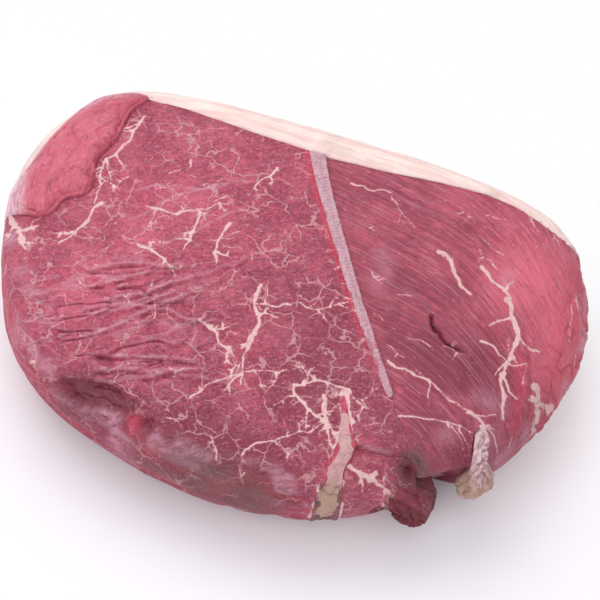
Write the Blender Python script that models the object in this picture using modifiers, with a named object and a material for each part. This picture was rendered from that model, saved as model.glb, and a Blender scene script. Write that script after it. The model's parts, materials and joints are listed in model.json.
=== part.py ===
"""A boneless rump roasting joint of raw beef, lying on one of its two cut faces.

Units are metres inside Blender; the dimensions below are in millimetres. +Z is up, +X runs
along the joint, and the fat cap is on the +Y side. The origin is at the middle of the underside.

One smooth envelope gives the joint its rounded outer form. Upright prisms, drawn in plan, divide
that form into the muscles and the fat layers between them, so neighbours share one boundary with
a hairline gap. The rolled tail and the hanging tag of fat are swept along curves.
"""

import math

import bmesh
import bpy
from mathutils import Matrix, Vector

MM = 0.001

# Driving dimensions, in millimetres.
THICKNESS = 58.0      # from the underside to the middle of the upper cut face
BELLY_HEIGHT = 22.0   # where the side walls stand out furthest
GAP = 0.3             # hairline between neighbouring pieces
SLANT = (5.0, -4.0)   # how far the muscle boundaries lean between the two cut faces

# The widest outline in plan, anticlockwise from the right end of the fat cap. A closed curve
# through these corners gives the stations of the envelope.
OUTLINE = [
    (122, 80), (60, 92), (-40, 90), (-112, 80), (-141, 30), (-130, -20),
    (-100, -67), (-38, -88), (32, -90), (90, -61), (128, -23), (144, 34),
]
SPINE_HALF_LENGTH = 62.0  # every section is drawn towards this middle line
BACK_SHOULDER = 9.0       # rounding of the upper edge at the fat cap
FRONT_SHOULDER = 20.0     # and at the opposite, softly rolled edge
END_SHOULDER = 15.0

# How far the upper face falls away towards each side, and where that begins.
FRONT_DROOP, FRONT_START = 11.0, -34.0
LEFT_DROOP, LEFT_START = 7.0, -96.0
RIGHT_DROOP, RIGHT_START = 16.0, 92.0

# The boundary between the fat cap and the lean, from the left end to the right end.
FAT_LINE = [(-152, -12), (-134, 10), (-124, 50), (-100, 75), (0, 75), (75, 82), (112, 75), (152, 64)]
# The edge of the small muscle at the upper left, and the lobes that stand out along it.
CAP_LINE = [(-88, 84), (-99, 55), (-101, 20), (-116, 0), (-152, -8)]
LOBES, LOBE_DEPTH = 4.5, 3.0
# The fat seam between the two large muscles, widest at the fat cap: plan position and full width.
SEAM = [(-10, 84, 6.5), (4, 58, 4.5), (38, 8, 3.0), (67, -31, 1.4)]
# Past the seam the two muscles only touch, down to the open notch in the front edge.
SEAM_TO_NOTCH = [(67, -31), (84, -54), (110, -110)]
# The knot of fat that divides the tail from the main muscle: plan position and full width.
KNOT = [(46, -34, 1.6), (51, -45, 4.0), (56, -57, 8.0), (55, -68, 8.0), (58, -82, 11.0), (62, -104, 14.0)]
# The root of the tail, a small muscle that ends in the roll. Its left side lies inside the knot.
TAIL = [(56, -56), (87, -52), (94, -70), (94, -110), (62, -110)]
# The roll at the tail's end: the strip's centre line (x, z) and its half thickness.
ROLL_Y, ROLL_HALF_WIDTH = -59.5, 10.5
ROLL = [
    (68, 35, 5.0), (79, 34, 5.5), (89, 30, 5.4), (94.5, 22, 4.9),
    (93, 13.5, 4.4), (87, 9, 3.9), (82, 13, 3.3),
]
ROLL_ROOM_CENTRE, ROLL_ROOM_RADIUS = (87.0, 18.0), 14.5
ROLL_ROOM_MARGIN = 4.0    # how far the room reaches past the strip's inner edge
ROLL_ROOM_DEPTH = 60.0
# The tag of fat that hangs over the front edge: centre line and radius.
TAG = [
    (105, -28, 50, 2.6), (109, -34, 49, 4.0), (113, -41, 45, 5.2),
    (115, -44, 38, 6.2), (115, -45, 30, 6.6), (114, -45, 23, 5.8), (113, -44, 17, 3.6),
]

# How much higher each piece's upper face stands than the main muscle's.
LIFT = {
    "main_muscle": 0.0, "side_muscle": -0.8, "cap_muscle": 3.6, "fat_cap": 1.2,
    "fat_seam": 0.5, "fat_knot": -1.0, "tail_muscle": -5.0,
}
LINEAR_COLOUR = {
    "main_muscle": (0.42, 0.095, 0.12), "side_muscle": (0.40, 0.085, 0.11),
    "cap_muscle": (0.52, 0.13, 0.15), "tail_muscle": (0.30, 0.07, 0.08),
    "fat_cap": (0.84, 0.66, 0.54), "fat_seam": (0.74, 0.45, 0.42),
    "fat_knot": (0.66, 0.42, 0.34), "fat_tag": (0.55, 0.40, 0.27),
}
LEAN_ROUGHNESS, FAT_ROUGHNESS = 0.38, 0.5


def clear_scene():
    for obj in list(bpy.data.objects):
        bpy.data.objects.remove(obj)


def collection(name):
    made = bpy.data.collections.new(name)
    bpy.context.scene.collection.children.link(made)
    return made


def material(name):
    made = bpy.data.materials.new(name)
    made.use_nodes = True
    shader = made.node_tree.nodes["Principled BSDF"]
    shader.inputs["Base Color"].default_value = (*LINEAR_COLOUR[name], 1.0)
    shader.inputs["Roughness"].default_value = (
        FAT_ROUGHNESS if name.startswith("fat") else LEAN_ROUGHNESS
    )
    shader.inputs["Metallic"].default_value = 0.0
    return made


def ramp(value, start, end):
    """0 at start, 1 at end, rising as a square in between and on past the end."""
    share = max(0.0, (value - start) / (end - start))
    return share * share


def face_height(x, y):
    """Height of the main muscle's upper cut face, in millimetres."""
    front = FRONT_DROOP * ramp(y, FRONT_START, -90.0)
    left = LEFT_DROOP * ramp(x, LEFT_START, -140.0)
    right = RIGHT_DROOP * ramp(x, RIGHT_START, 140.0)
    return THICKNESS - front - left - right


def shoulder_at(x, y):
    """Radius of the upper edge at an outline point: small at the back, large at the front."""
    angle = math.atan2(y, x * 0.62)
    back = max(0.0, math.sin(angle)) ** 0.8
    front = max(0.0, -math.sin(angle)) ** 0.8
    side = max(0.0, 1.0 - back - front)
    return BACK_SHOULDER * back + FRONT_SHOULDER * front + END_SHOULDER * side


def section(x, y, lift):
    """The cage points at one outline point, from the upper face round the wall to the underside."""
    spine = Vector((max(-SPINE_HALF_LENGTH, min(SPINE_HALF_LENGTH, x)), 0.0))
    inward = (spine - Vector((x, y))).normalized()
    shoulder = shoulder_at(x, y)
    rings = [  # inset from the outline, and height above the underside (None: on the upper face)
        (2.6 * shoulder + 8.0, None),
        (1.35 * shoulder, None),
        (0.55 * shoulder, -0.06 * shoulder),
        (0.02 * shoulder, -0.62 * shoulder),
        (-0.9, BELLY_HEIGHT),
        (2.5, 8.0),
        (9.0, 0.0),
        (26.0, 0.0),
    ]
    points = []
    for inset, height in rings:
        px, py = Vector((x, y)) + inward * inset
        if height is None:
            pz = face_height(px, py) + lift
        elif height < 0.0:
            pz = face_height(px, py) + lift + height
        else:
            pz = height
        points.append((px * MM, py * MM, pz * MM))
    return points


def envelope(name, lift):
    """The joint's whole outer form as a cage of rings with Subdivision Surface on it."""
    stations = [section(x, y, lift) for x, y in smooth_line(OUTLINE, steps=2, closed=True)]
    ring_count = len(stations[0])
    verts = [station[k] for k in range(ring_count) for station in stations]
    n = len(stations)
    faces = [list(range(n)), list(range((ring_count - 1) * n, ring_count * n))[::-1]]
    for k in range(ring_count - 1):
        for i in range(n):
            j = (i + 1) % n
            faces.append([k * n + i, (k + 1) * n + i, (k + 1) * n + j, k * n + j])
    mesh = bpy.data.meshes.new(name)
    mesh.from_pydata(verts, [], faces)
    obj = bpy.data.objects.new(name, mesh)
    smooth = obj.modifiers.new("round", "SUBSURF")
    smooth.levels = smooth.render_levels = 2
    return obj


def spline_point(points, i, t, closed):
    """A point of the Catmull-Rom spline through points, on the stretch that starts at point i."""
    n = len(points)

    def at(k):
        return Vector(points[k % n] if closed else points[max(0, min(n - 1, k))])

    a, b, c, d = at(i - 1), at(i), at(i + 1), at(i + 2)
    return 0.5 * ((2 * b) + (c - a) * t + (2 * a - 5 * b + 4 * c - d) * t**2
                  + (3 * b - a - 3 * c + d) * t**3)


def smooth_line(points, steps=3, closed=False):
    stretches = len(points) if closed else len(points) - 1
    line = [spline_point(points, i, s / steps, closed) for i in range(stretches) for s in range(steps)]
    return line if closed else [*line, Vector(points[-1])]


def prism(name, plan, grow, cutters):
    """An upright prism over a closed plan outline, leaning by SLANT, grown sideways by grow."""
    curve = bpy.data.curves.new(name, "CURVE")
    curve.dimensions = "2D"
    curve.fill_mode = "BOTH"
    curve.extrude = THICKNESS * MM
    curve.offset = grow * MM
    spline = curve.splines.new("POLY")
    spline.points.add(len(plan) - 1)
    for point, (x, y) in zip(spline.points, plan):
        point.co = (x * MM, y * MM, 0.0, 1.0)
    spline.use_cyclic_u = True
    return as_mesh(name, curve, cutters, lean())


def lean():
    """Puts a prism's middle at half the joint's height and leans it."""
    matrix = Matrix.Translation((0, 0, THICKNESS * MM / 2))
    shear = Matrix.Identity(4)
    shear[0][2] = SLANT[0] / THICKNESS
    shear[1][2] = SLANT[1] / THICKNESS
    # The plan dimensions describe the upper face, so the shear is undone at that height.
    back = Matrix.Translation((-SLANT[0] * MM / 2, -SLANT[1] * MM / 2, 0))
    return back @ matrix @ shear


def as_mesh(name, curve, cutters, matrix):
    """A curve made into a closed mesh object, which a Boolean can use."""
    source = bpy.data.objects.new(name + "_curve", curve)
    bpy.context.scene.collection.objects.link(source)
    bpy.context.view_layer.update()
    graph = bpy.context.evaluated_depsgraph_get()
    mesh = bpy.data.meshes.new_from_object(source.evaluated_get(graph))
    bpy.data.objects.remove(source)
    weld(mesh)
    mesh.transform(matrix)
    obj = bpy.data.objects.new(name, mesh)
    obj.hide_render = True
    obj.display_type = "WIRE"
    cutters.objects.link(obj)
    return obj


def weld(mesh):
    edit = bmesh.new()
    edit.from_mesh(mesh)
    bmesh.ops.remove_doubles(edit, verts=edit.verts, dist=1e-6)
    bmesh.ops.recalc_face_normals(edit, faces=edit.faces)
    edit.to_mesh(mesh)
    edit.free()


def boolean(obj, cutter, operation):
    step = obj.modifiers.new(f"{operation.lower()}_{cutter.name}", "BOOLEAN")
    step.operation = operation
    step.object = cutter


def swept(name, points, flatten, grow, cutters):
    """A round tube through (x, y, z, radius) points, its ends closed, squeezed along one axis."""
    curve = bpy.data.curves.new(name, "CURVE")
    curve.dimensions = "3D"
    curve.bevel_depth = MM
    curve.bevel_resolution = 2
    curve.use_fill_caps = True
    spline = curve.splines.new("POLY")
    line = smooth_line(points, steps=3)
    spline.points.add(len(line) - 1)
    for point, (x, y, z, radius) in zip(spline.points, line):
        point.co = (x * MM, y * MM, z * MM, 1.0)
        point.radius = radius + grow
    return as_mesh(name, curve, cutters, flatten)


def ribbon_plan(middle, steps):
    """The closed outline of a band of fat: down its left side and up its right side."""
    line = smooth_line(middle, steps=steps)
    left, right = [], []
    for i, (x, y, width) in enumerate(line):
        before, after = line[max(0, i - 1)], line[min(len(line) - 1, i + 1)]
        along = (after - before).xy.normalized()
        across = Vector((-along.y, along.x)) * width / 2
        left.append((x - across.x, y - across.y))
        right.append((x + across.x, y + across.y))
    return left + right[::-1]


def lobed_line(points, lobes, depth):
    """A smooth line through points whose middle stretch swells into lobes on one side."""
    line = smooth_line(points, steps=6)
    made = []
    for i, point in enumerate(line):
        before, after = line[max(0, i - 1)], line[min(len(line) - 1, i + 1)]
        along = (after - before).normalized()
        share = i / (len(line) - 1)
        swell = depth * math.sin(share * lobes * 2 * math.pi) * math.sin(share * math.pi)
        made.append((point.x - along.y * swell, point.y + along.x * swell))
    return made


def plans():
    """Closed plan outlines of every piece that a prism cuts out, first come first served."""
    fat = [tuple(p) for p in smooth_line(FAT_LINE)]
    cap = lobed_line(CAP_LINE, LOBES, LOBE_DEPTH)
    seam_middle = [tuple(p.xy) for p in smooth_line(SEAM, steps=5)]
    notch = [tuple(p) for p in smooth_line(SEAM_TO_NOTCH, steps=4)][1:]
    return {
        "fat_cap": [*fat, (160, 130), (-170, 130), (-170, -14)],
        "cap_muscle": [*cap, (-170, -8), (-170, 110), (-88, 110)],
        "fat_seam": ribbon_plan(SEAM, steps=5),
        "fat_knot": ribbon_plan(KNOT, steps=3),
        "tail_muscle": TAIL,
        "side_muscle": [*seam_middle, *notch, (170, -110), (170, 110), (-6, 110)],
    }


def roll_strip(name, grow, cutters):
    """The tail's strip, curled under at its end, as a tube flattened into a band."""
    points = [(x, 0.0, z, half) for x, z, half in ROLL]
    mean_half = sum(p[3] for p in points) / len(points)
    widen = Matrix.Diagonal((1.0, ROLL_HALF_WIDTH / mean_half, 1.0, 1.0))
    place = Matrix.Translation((0, ROLL_Y * MM, 0))
    return swept(name, points, place @ widen, grow, cutters)


def roll_room(cutters):
    """The space under the front edge that the roll lies in."""
    inner_end = ROLL_Y + ROLL_HALF_WIDTH + ROLL_ROOM_MARGIN
    bpy.ops.mesh.primitive_cylinder_add(
        vertices=24, radius=ROLL_ROOM_RADIUS * MM, depth=ROLL_ROOM_DEPTH * MM,
        location=(ROLL_ROOM_CENTRE[0] * MM, (inner_end - ROLL_ROOM_DEPTH / 2) * MM,
                  ROLL_ROOM_CENTRE[1] * MM),
        rotation=(math.pi / 2, 0, 0),
    )
    room = bpy.context.object
    room.name = "roll_room"
    room.hide_render = True
    room.display_type = "WIRE"
    for owner in list(room.users_collection):
        owner.objects.unlink(room)
    cutters.objects.link(room)
    return room


def finish_piece(obj, parts, name):
    obj.data.materials.append(material(name))
    obj.data.shade_smooth()
    parts.objects.link(obj)


def build():
    clear_scene()
    parts = collection("beef_joint")
    cutters = collection("cutters")
    outlines = plans()
    exact = {name: prism(name + "_prism", plan, 0.0, cutters) for name, plan in outlines.items()}
    grown = {name: prism(name + "_room", plan, GAP, cutters) for name, plan in outlines.items()}
    room = roll_room(cutters)
    strip = roll_strip("roll_strip", 0.0, cutters)
    strip_room = roll_strip("roll_strip_room", GAP, cutters)
    tag_room = swept("fat_tag_room", TAG, Matrix.Identity(4), GAP, cutters)

    taken = []
    for name in [*outlines, "main_muscle"]:
        piece = envelope(name, LIFT[name])
        if name in exact:
            boolean(piece, exact[name], "INTERSECT")
        for earlier in taken:
            boolean(piece, grown[earlier], "DIFFERENCE")
        if name in ("main_muscle", "side_muscle", "tail_muscle"):
            boolean(piece, room, "DIFFERENCE")
        if name in ("main_muscle", "side_muscle"):
            boolean(piece, strip_room, "DIFFERENCE")
        if name == "tail_muscle":
            boolean(piece, strip, "UNION")
        if name == "side_muscle":
            boolean(piece, tag_room, "DIFFERENCE")
        finish_piece(piece, parts, name)
        taken.append(name)

    tag = swept("fat_tag_tube", TAG, Matrix.Identity(4), 0.0, cutters)
    piece = bpy.data.objects.new("fat_tag", tag.data)
    bpy.data.objects.remove(tag)
    finish_piece(piece, parts, "fat_tag")


build()
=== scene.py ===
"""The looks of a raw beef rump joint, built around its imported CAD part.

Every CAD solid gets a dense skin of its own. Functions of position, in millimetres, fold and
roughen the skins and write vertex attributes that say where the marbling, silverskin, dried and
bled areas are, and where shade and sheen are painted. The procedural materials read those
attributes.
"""

import json
import math
import random

import bmesh
import bpy
import numpy as np
from mathutils import Matrix, Vector
from mathutils.bvhtree import BVHTree


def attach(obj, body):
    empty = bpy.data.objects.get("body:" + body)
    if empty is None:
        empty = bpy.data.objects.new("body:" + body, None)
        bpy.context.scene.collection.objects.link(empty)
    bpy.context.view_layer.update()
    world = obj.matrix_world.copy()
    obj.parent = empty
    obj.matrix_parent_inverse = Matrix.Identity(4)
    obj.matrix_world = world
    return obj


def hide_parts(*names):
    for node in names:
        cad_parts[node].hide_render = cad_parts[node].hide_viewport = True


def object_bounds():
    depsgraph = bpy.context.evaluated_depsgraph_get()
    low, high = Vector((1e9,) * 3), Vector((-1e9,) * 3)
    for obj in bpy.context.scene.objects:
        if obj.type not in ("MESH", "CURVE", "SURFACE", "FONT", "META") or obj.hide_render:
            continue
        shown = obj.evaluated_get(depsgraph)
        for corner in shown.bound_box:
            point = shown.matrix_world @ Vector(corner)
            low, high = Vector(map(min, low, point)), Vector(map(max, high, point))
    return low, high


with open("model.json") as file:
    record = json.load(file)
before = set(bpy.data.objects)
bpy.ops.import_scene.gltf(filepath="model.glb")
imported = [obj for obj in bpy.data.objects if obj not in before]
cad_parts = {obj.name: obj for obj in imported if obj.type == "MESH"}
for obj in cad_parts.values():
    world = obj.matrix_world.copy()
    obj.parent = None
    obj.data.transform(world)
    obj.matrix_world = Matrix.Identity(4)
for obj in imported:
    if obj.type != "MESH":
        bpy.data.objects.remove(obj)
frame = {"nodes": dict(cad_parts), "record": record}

cad_low, cad_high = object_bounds()
MM = 0.001

# Trunks of the marbling: start (x, y) in mm, the way it sets off and how far it turns on its way
# in degrees, then length and width in mm. Its forks are grown from it.
MAIN_TRUNKS = [
    ((-90, 65), -75, -15, 55, 1.4),     # down from the fat at the upper left
    ((-90, 15), -110, -20, 30, 1.8),
    ((-70, 20), 10, 20, 40, 1.1),
    ((-65, 0), -20, -20, 25, 1.5),
    ((-45, 25), -70, 0, 20, 1.7),
    ((-30, 25), -90, 0, 22, 1.4),
    ((-20, 60), -85, 0, 20, 1.1),
    ((-5, 0), -90, 10, 50, 1.9),        # the tall forked vein in the middle
    ((-25, -25), -20, -10, 25, 1.7),
    ((-5, -10), 20, 20, 45, 0.9),
    ((-15, -60), 30, 0, 45, 0.9),
    ((25, -40), 40, -50, 40, 1.2),      # the ring of veins above the knot
    ((25, -40), -45, 5, 38, 1.3),
    ((15, -75), 30, -10, 42, 0.9),
    ((40, -40), -60, 0, 25, 1.9),
    ((-130, -5), -45, 0, 22, 2.8),      # fascia at the left end
]
SIDE_TRUNKS = [
    ((65, 45), -25, -10, 25, 2.4),
    ((85, 45), -30, -20, 20, 2.0),
    ((100, 35), -50, -35, 60, 2.5),     # the gristle down the right end
    ((60, -15), -15, 30, 55, 1.1),
    ((100, -25), 5, -30, 25, 1.2),
    ((95, 10), 5, 20, 25, 1.2),
    ((125, -5), 25, 35, 20, 2.2),
    ((125, 0), -80, -10, 30, 4.0),      # and its thick white lower end
    ((15, 65), 0, -10, 20, 0.8),
    ((65, -35), -25, 25, 40, 0.9),
    ((35, 65), -30, -15, 20, 0.6),
]
GRISTLE = SIDE_TRUNKS[2]
TAIL_TRUNKS = [((60, -64), -5, 5, 24, 1.6), ((75, -62), -65, 10, 18, 0.9)]
FORK_STEP = 5.0  # a trunk bends, and may fork, about this often, in mm
LONGEST_FORK = 12.0

# The soft folds at the front left run side by side: the first one's start, the step from one to
# the next, and the way they head.
FOLD_COUNT = 9
FOLD_START, FOLD_STEP, FOLD_HEADING = (-86, -22), (3.0, -6.0), 27
FOLD_LENGTH = (50, 88)
PALE_COUNT = 3
PALE_START, PALE_STEP, PALE_HEADING = (-82, 22), (5, -13), 33
PALE_LENGTH = (58, 58)

# The small cut in the side muscle: start, heading, turn, length.
SLIT_ARC = ((70, 15), -60, 70, 28)
# Areas of the main muscle, each a centre and its radii: where the folds are strong, where the mesh
# is finest for them, and the dark hollow under the front rim.
FOLD_ZONE = ((-58, -36), (70, 46))
FINE_FOLDS = ((-62, -38), (46, 28))
HOLLOW = ((-55, -72), (28, 7))
AROUND_HOLLOW = (44, 16)
PIT, NUB = (-29, -76), (-35, -77.5)  # a small pit in the front rim, and the nub beside it
NOTCH = (85.5, -56.5)  # between the side muscle and the tail
# The seam slants across the face through this place; the lean ends at the fat edge behind.
SEAM_PLACE, SEAM_SLANT, SEAM_MARGIN = (30, 30), 0.62, 4
FAT_EDGE = 74


# ---------------------------------------------------------------- noise and fields, in numpy


LATTICE_FACTORS = (374761393, 668265263, 1440662683)
SEED_FACTOR, MIXING_FACTOR = 974634777, 1274126177
ALL_BITS = 0xFFFFFFFF


def lattice(cell, seed):
    """A repeatable random number from 0 to 1 at each whole-number lattice point."""
    mixed = sum(cell[:, axis] * factor for axis, factor in enumerate(LATTICE_FACTORS))
    mixed = mixed + seed * SEED_FACTOR
    mixed = (mixed ^ (mixed >> 13)) & ALL_BITS
    mixed = (mixed * MIXING_FACTOR) & ALL_BITS
    mixed = mixed ^ (mixed >> 16)
    return mixed / ALL_BITS


def noise(points, seed=0):
    """Smooth value noise from -1 to 1, with features about one unit across."""
    base = np.floor(points).astype(np.int64)
    share = points - base
    share = share * share * (3 - 2 * share)
    total = np.zeros(len(points))
    for corner in range(8):
        step = np.array([corner & 1, corner >> 1 & 1, corner >> 2 & 1])
        weight = np.prod(np.where(step, share, 1 - share), axis=1)
        total += weight * lattice(base + step, seed)
    return total * 2 - 1


def layers(points, seed=0, octaves=3):
    """Several octaves of noise."""
    total, size, reach = 0.0, 1.0, 0.0
    for octave in range(octaves):
        total = total + noise(points / size, seed + 17 * octave) * size
        reach += size
        size *= 0.5
    return total / reach


def smooth(value, start, end):
    """A smooth step from 0 at start to 1 at end."""
    share = np.clip((value - start) / (end - start), 0, 1)
    return share * share * (3 - 2 * share)


def blob(x, y, centre, radii):
    """1 in the middle of an ellipse, falling smoothly to 0 at its edge."""
    reach = np.hypot((x - centre[0]) / radii[0], (y - centre[1]) / radii[1])
    return 1 - smooth(reach, 0, 1)


def blobs(x, y, table):
    """The sum of a table's blobs: centre, radii, amount."""
    return sum(amount * blob(x, y, centre, radii) for centre, radii, amount in table)


def plan(u, v):
    """Points in a plane, for noise that doesn't change with height."""
    return np.column_stack([u, v, np.zeros(len(u))])


def rounded(line, steps=4):
    """A Catmull-Rom curve through the points of a line."""
    points = [np.array(p, float) for p in line]
    ends = [2 * points[0] - points[1], *points, 2 * points[-1] - points[-2]]
    curve = []
    for a, b, c, d in zip(ends, ends[1:], ends[2:], ends[3:]):
        for step in range(steps):
            t = step / steps
            curve.append(0.5 * (2 * b + (c - a) * t + (2 * a - 5 * b + 4 * c - d) * t * t
                                + (3 * b - a - 3 * c + d) * t**3))
    return [*curve, points[-1]]


def along(xy, line):
    """For each point: distance to a line, its side (+1 is left), and its share of the way."""
    distance = np.full(len(xy), 1e9)
    side = np.zeros(len(xy))
    share = np.zeros(len(xy))
    lengths = [np.linalg.norm(b - a) for a, b in zip(line, line[1:])]
    run = 0.0
    for a, b, length in zip(line, line[1:], lengths):
        if length == 0:
            continue
        step = b - a
        t = np.clip(((xy - a) @ step) / length**2, 0, 1)
        off = xy - a - t[:, None] * step
        far = np.hypot(off[:, 0], off[:, 1])
        nearer = far < distance
        distance[nearer] = far[nearer]
        side[nearer] = np.sign(step[0] * off[:, 1] - step[1] * off[:, 0])[nearer]
        share[nearer] = ((run + t * length) / sum(lengths))[nearer]
        run += length
    return distance, side, share


def vein_depth(xy, veins, margin=3.0):
    """How far each point lies inside the nearest vein, in mm; negative outside, down to -margin."""
    depth = np.full(len(xy), -margin)
    for line, start, end in veins:
        curve = rounded(line)
        low = np.min(curve, axis=0) - margin - 2
        high = np.max(curve, axis=0) + margin + 2
        close = np.flatnonzero(np.all((xy > low) & (xy < high), axis=1))
        if len(close) == 0:
            continue
        distance, _, share = along(xy[close], curve)
        beads = 1 + 0.55 * layers(np.column_stack([xy[close] / 3.0, np.zeros(len(close))]), 95, 2)
        half = (start + (end - start) * share) / 2 * beads
        depth[close] = np.maximum(depth[close], half - distance)
    return depth


def bent_line(start, heading, turn, length, dice=None, sway=0.28):
    """Points along a line that turns steadily, and sways at random if given dice."""
    x, y = start
    steps = max(3, round(length / FORK_STEP))
    line, lean = [(x, y)], 0.0
    for i in range(steps):
        if dice:
            lean = 0.5 * lean + dice.gauss(0, sway)
        angle = math.radians(heading + turn * i / steps) + lean
        x += math.cos(angle) * length / steps
        y += math.sin(angle) * length / steps
        line.append((x, y))
    return line


def vein_tree(dice, trunk, generations=3, forking=0.55):
    """A trunk and its forks, each thinner and shorter, with a thickening where they meet."""
    start, heading, turn, length, width = trunk
    line = bent_line(start, heading, turn, length, dice)
    veins = [(line, width, width * 0.45)]
    if generations == 1:
        return veins
    for before, joint in zip(line, line[1:-1]):
        if dice.random() > forking:
            continue
        ahead = math.degrees(math.atan2(joint[1] - before[1], joint[0] - before[0]))
        away = ahead + dice.choice((-1, 1)) * dice.uniform(40, 85)
        reach = min(LONGEST_FORK, length * dice.uniform(0.14, 0.42))
        fork = (joint, away, dice.gauss(0, 25), reach, max(0.4, width * 0.6))
        veins += vein_tree(dice, fork, generations - 1, forking)
        veins.append((bent_line(joint, away, 0, min(2.5, reach)), width * 1.35, 0.4))
    return veins


def marbling(trunks, seed, generations=3, forking=0.55):
    dice = random.Random(seed)
    return [vein for trunk in trunks for vein in vein_tree(dice, trunk, generations, forking)]


def scattered_veins(seed, count, inside, heading, spread, length, width):
    """Short crooked veins at random places inside a region, set off near its grain."""
    dice = random.Random(seed)
    veins = []
    while count:
        start = dice.uniform(-140, 140), dice.uniform(-90, 90)
        if not inside(*start):
            continue
        count -= 1
        away = math.degrees(heading(*start)) + dice.choice((0, 180)) + dice.gauss(0, spread)
        trunk = (start, away, dice.gauss(0, 15), dice.uniform(*length), dice.uniform(*width))
        veins += vein_tree(dice, trunk, 2 if dice.random() < 0.4 else 1)
    return veins


def side_by_side(seed, count, start, step, heading, length):
    """Lines that run next to each other, each with a strength of its own."""
    dice = random.Random(seed)
    lines = []
    for k in range(count):
        place = (start[0] + step[0] * k + dice.gauss(0, 3), start[1] + step[1] * k)
        away = heading + dice.gauss(0, 5)
        lines.append((bent_line(place, away, dice.gauss(0, 10), dice.uniform(*length), dice, 0.16),
                      dice.uniform(0.7, 1.6)))
    return lines


FOLDS = side_by_side(31, FOLD_COUNT, FOLD_START, FOLD_STEP, FOLD_HEADING, FOLD_LENGTH)
PALE_LINES = side_by_side(32, PALE_COUNT, PALE_START, PALE_STEP, PALE_HEADING, PALE_LENGTH)


# ---------------------------------------------------------------- dense skins


def new_mesh_object(name, mesh):
    obj = bpy.data.objects.new(name, mesh)
    bpy.context.scene.collection.objects.link(obj)
    return obj


def evaluated(obj, name):
    graph = bpy.context.evaluated_depsgraph_get()
    mesh = bpy.data.meshes.new_from_object(obj.evaluated_get(graph))
    mesh.name = name
    return mesh


def remeshed(node, voxel):
    """A copy of a CAD node with its surface rebuilt from even faces about a voxel wide, in mm."""
    obj = new_mesh_object(node + "_source", frame["nodes"][node].data.copy())
    even = obj.modifiers.new("even", "REMESH")
    even.mode = "VOXEL"
    even.voxel_size = voxel * MM
    mesh = evaluated(obj, node + "_skin")
    bpy.data.objects.remove(obj)
    return mesh


def positions(mesh):
    flat = np.empty(len(mesh.vertices) * 3)
    mesh.vertices.foreach_get("co", flat)
    return flat.reshape(-1, 3) / MM


def normals(mesh):
    flat = np.empty(len(mesh.vertices) * 3)
    mesh.vertex_normals.foreach_get("vector", flat)
    return flat.reshape(-1, 3)


def move_to(mesh, points):
    mesh.vertices.foreach_set("co", (points * MM).ravel())
    mesh.update()


def relax(mesh, times, share=0.5):
    """Moves every vertex towards the mean of its neighbours."""
    edges = np.empty(len(mesh.edges) * 2, dtype=np.int64)
    mesh.edges.foreach_get("vertices", edges)
    a, b = edges[0::2], edges[1::2]
    points = positions(mesh)
    count = np.bincount(np.concatenate([a, b]), minlength=len(points))[:, None]
    for _ in range(times):
        total = np.zeros_like(points)
        for axis in range(3):
            total[:, axis] = (np.bincount(a, points[b, axis], len(points))
                              + np.bincount(b, points[a, axis], len(points)))
        points += (total / count - points) * share
    move_to(mesh, points)


def refine(mesh, chosen):
    """Halves the edges whose two ends are chosen."""
    edit = bmesh.new()
    edit.from_mesh(mesh)
    edges = [e for e in edit.edges if chosen[e.verts[0].index] and chosen[e.verts[1].index]]
    bmesh.ops.subdivide_edges(edit, edges=edges, cuts=1, use_grid_fill=True)
    bmesh.ops.triangulate(edit, faces=[f for f in edit.faces if len(f.verts) > 4])
    edit.to_mesh(mesh)
    edit.free()
    mesh.update()


def search_tree(names):
    """A search tree over the named CAD nodes."""
    verts, faces = [], []
    for name in names:
        other = frame["nodes"][name]
        start = len(verts)
        verts += [v.co.copy() for v in other.data.vertices]
        faces += [[start + i for i in p.vertices] for p in other.data.polygons]
    return BVHTree.FromPolygons(verts, faces)


def nearest(mesh, names, reach):
    """Every vertex's distance to the named CAD nodes, up to reach, and its height above them."""
    tree = search_tree(names)
    distance = np.full(len(mesh.vertices), float(reach))
    above = np.zeros(len(mesh.vertices))
    for i, vertex in enumerate(mesh.vertices):
        place, _, _, far = tree.find_nearest(vertex.co, reach * MM)
        if place is not None:
            distance[i] = far / MM
            above[i] = (vertex.co.z - place.z) / MM
    return distance, above


def write(mesh, name, values):
    """Writes one number, or one vector, for every vertex."""
    kind, key = ("FLOAT", "value") if values.ndim == 1 else ("FLOAT_VECTOR", "vector")
    attribute = mesh.attributes.new(name, kind, "POINT")
    attribute.data.foreach_set(key, values.astype(np.float32).ravel())


# ---------------------------------------------------------------- what is where on the joint


def across_turned(x, y, degrees):
    """Coordinates along and across a direction in plan."""
    angle = math.radians(degrees)
    return (x * math.cos(angle) + y * math.sin(angle), -x * math.sin(angle) + y * math.cos(angle))


def fibres(name, points):
    """Coordinates in mm: along the grain, across it, and through it."""
    x, y, z = points.T
    if name == "side_muscle":
        over = y + 0.17 * x + 0.0068 * np.maximum(x - 58, 0) ** 2
        along_grain = x - 0.35 * y
    elif name == "cap_muscle":
        over = np.hypot(x + 76, y - 26)
        along_grain = np.arctan2(-(x + 76), y - 26) * 60
    elif name == "fat_cap":
        # Layers that follow the joint's rounded outline, round its corner without a break.
        half_length, half_depth = cad_high[0] / MM, cad_high[1] / MM
        over = half_depth * (np.abs(x / half_length) ** 3 + np.abs(y / half_depth) ** 3) ** (1 / 3)
        along_grain = np.arctan2(x, y) * 110
    elif name == "fat_seam":
        along_grain, over = across_turned(x, y, -57)
    else:
        along_grain, over = across_turned(x, y, 26)
    return np.stack([along_grain, over, z], axis=1)


def face_share(normal):
    """1 on the two cut faces, 0 on the walls."""
    return smooth(np.abs(normal[:, 2]), 0.45, 0.85)


def upward(normal):
    """1 where the surface faces up, 0 where it doesn't."""
    return smooth(normal[:, 2], 0.2, 0.7)


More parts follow.
